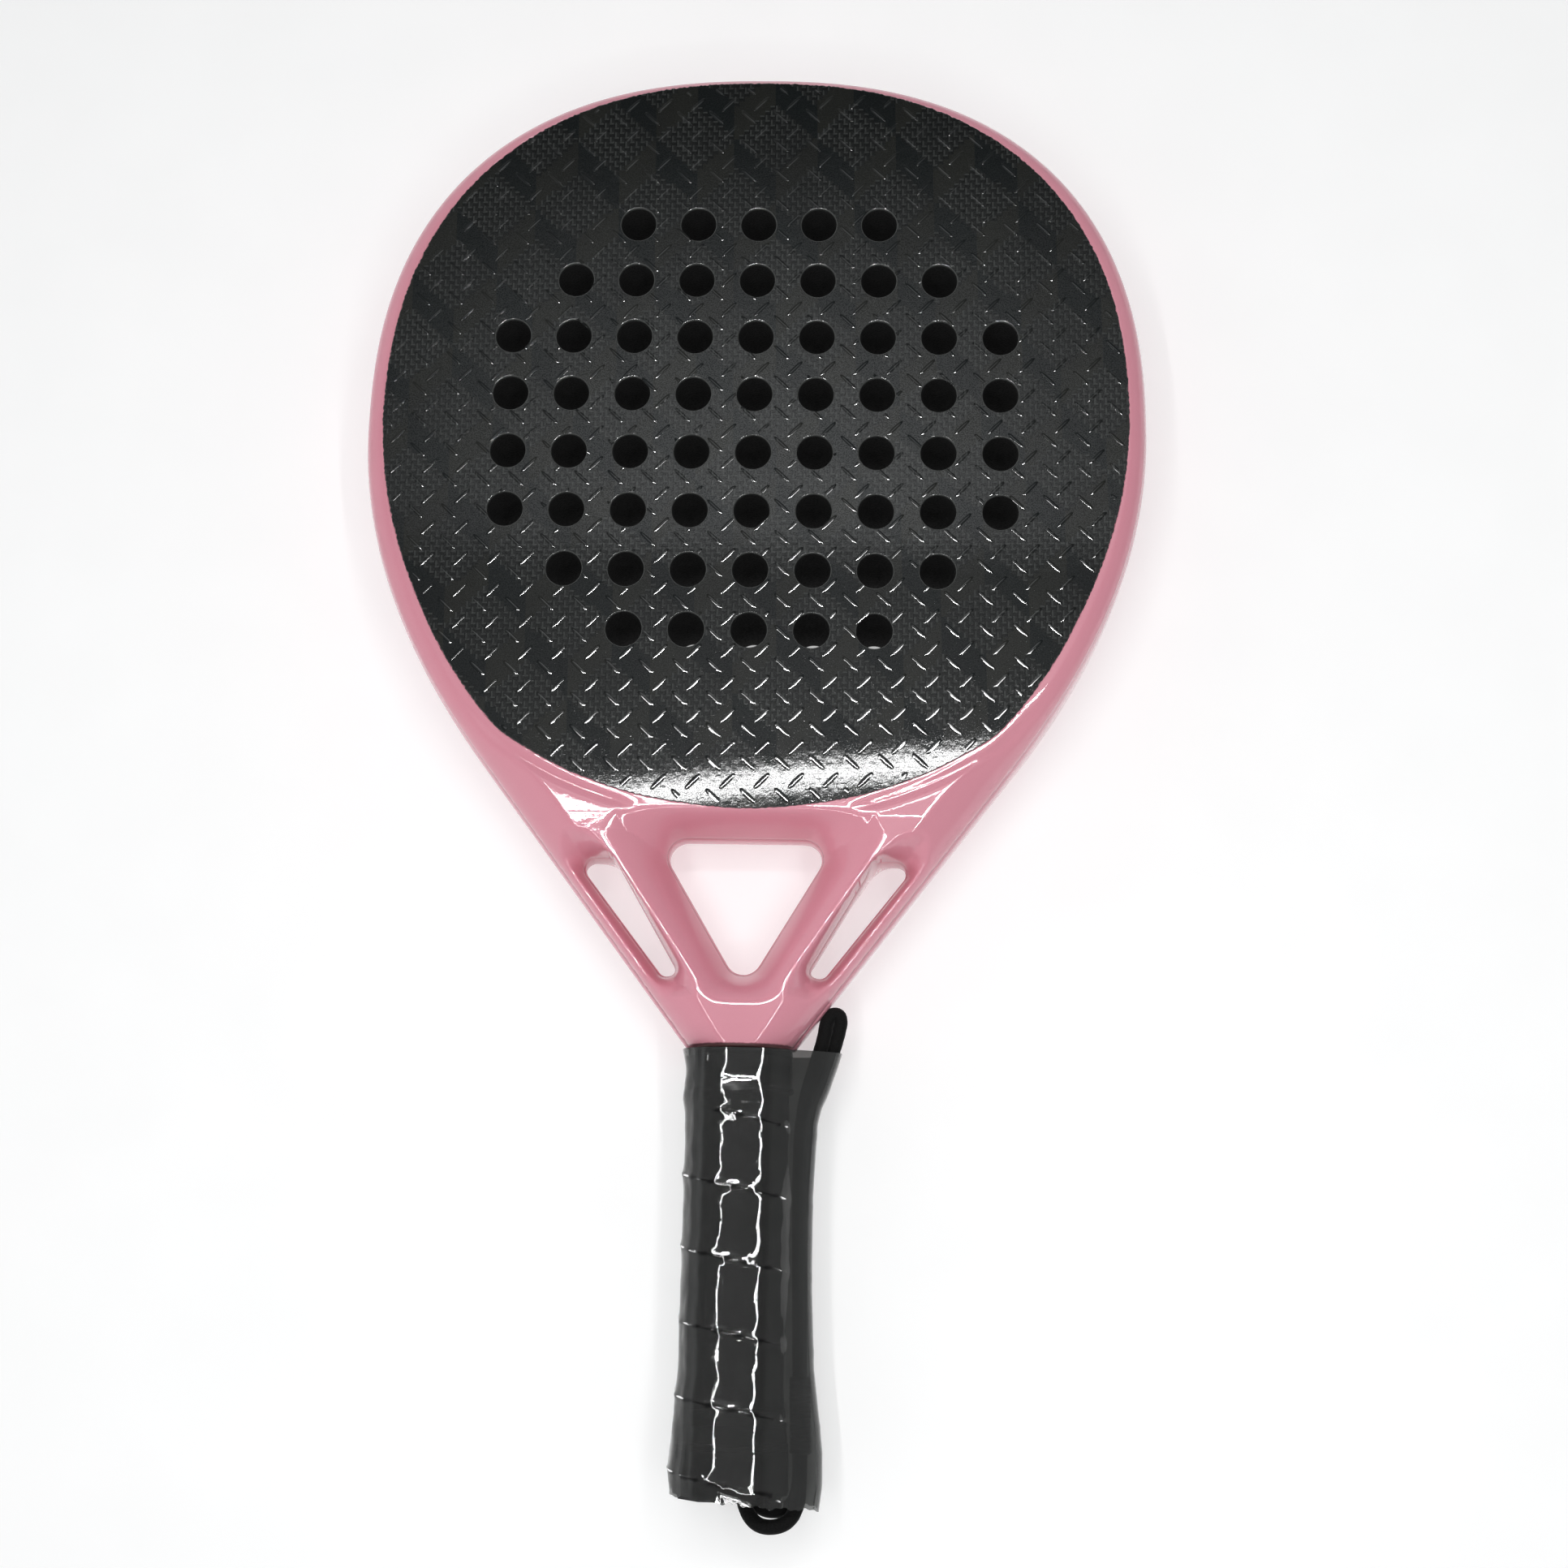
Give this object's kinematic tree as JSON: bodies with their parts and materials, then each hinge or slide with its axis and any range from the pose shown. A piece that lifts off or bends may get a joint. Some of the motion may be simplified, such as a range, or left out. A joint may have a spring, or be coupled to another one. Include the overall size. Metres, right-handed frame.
{
  "type": "padel racket",
  "caption": "Padel racket with a perforated moulded carbon face, glossy foam-cored frame, V-shaped open throat, wrapped octagonal grip under clear film, and a folded wrist cord with a slider.",
  "frame": {"origin": "bottom centre of the racket's bounding box as it lies on its back face, without the wrist cord", "axes": "+Y from the butt to the head tip, +Z out of the front face, +X towards the side where the cord is folded"},
  "size_m": [0.253, 0.465, 0.038],
  "materials": {
    "pink_paint": "gloss",
    "carbon_face": "gloss clear coat over moulded carbon weave",
    "core_foam": "matt closed-cell foam",
    "filler_foam": "matt foam",
    "shaft_laminate": "raw laminate",
    "pallet_foam": "rigid polyurethane foam",
    "cap_plastic": "moulded",
    "staple_steel": "bright wire",
    "grip_leather": "smooth synthetic leather",
    "tape_plastic": "smooth",
    "collar_rubber": "satin",
    "clear_film": "clear gloss film",
    "cord_braid": "round braid",
    "slider_rubber": "ribbed"
  },
  "bodies": {
    "racket": {"frame_tube": "pink_paint", "throat_bridge": "pink_paint", "frame_foam": "filler_foam", "core_slab": "core_foam", "front_face_skin": "carbon_face", "back_face_skin": "carbon_face", "handle_shaft": "shaft_laminate", "shaft_foam": "filler_foam", "handle_pallet_front": "pallet_foam", "handle_pallet_back": "pallet_foam", "butt_cap": "cap_plastic", "butt_cap_staples": "staple_steel", "grip_wrap": "grip_leather", "finishing_tape": "tape_plastic", "grip_collar": "collar_rubber", "grip_film_sleeve": "clear_film", "wrist_cord": "cord_braid", "cord_knot": "cord_braid"},
    "slider": {"cord_slider": "slider_rubber"}
  },
  "joints": [
    {"name": "slider_slide", "type": "slide", "parent": "racket", "child": "slider", "axis": [-0.0267, 0.9996, 0], "range_m": [0, 0.045]}
  ]
}
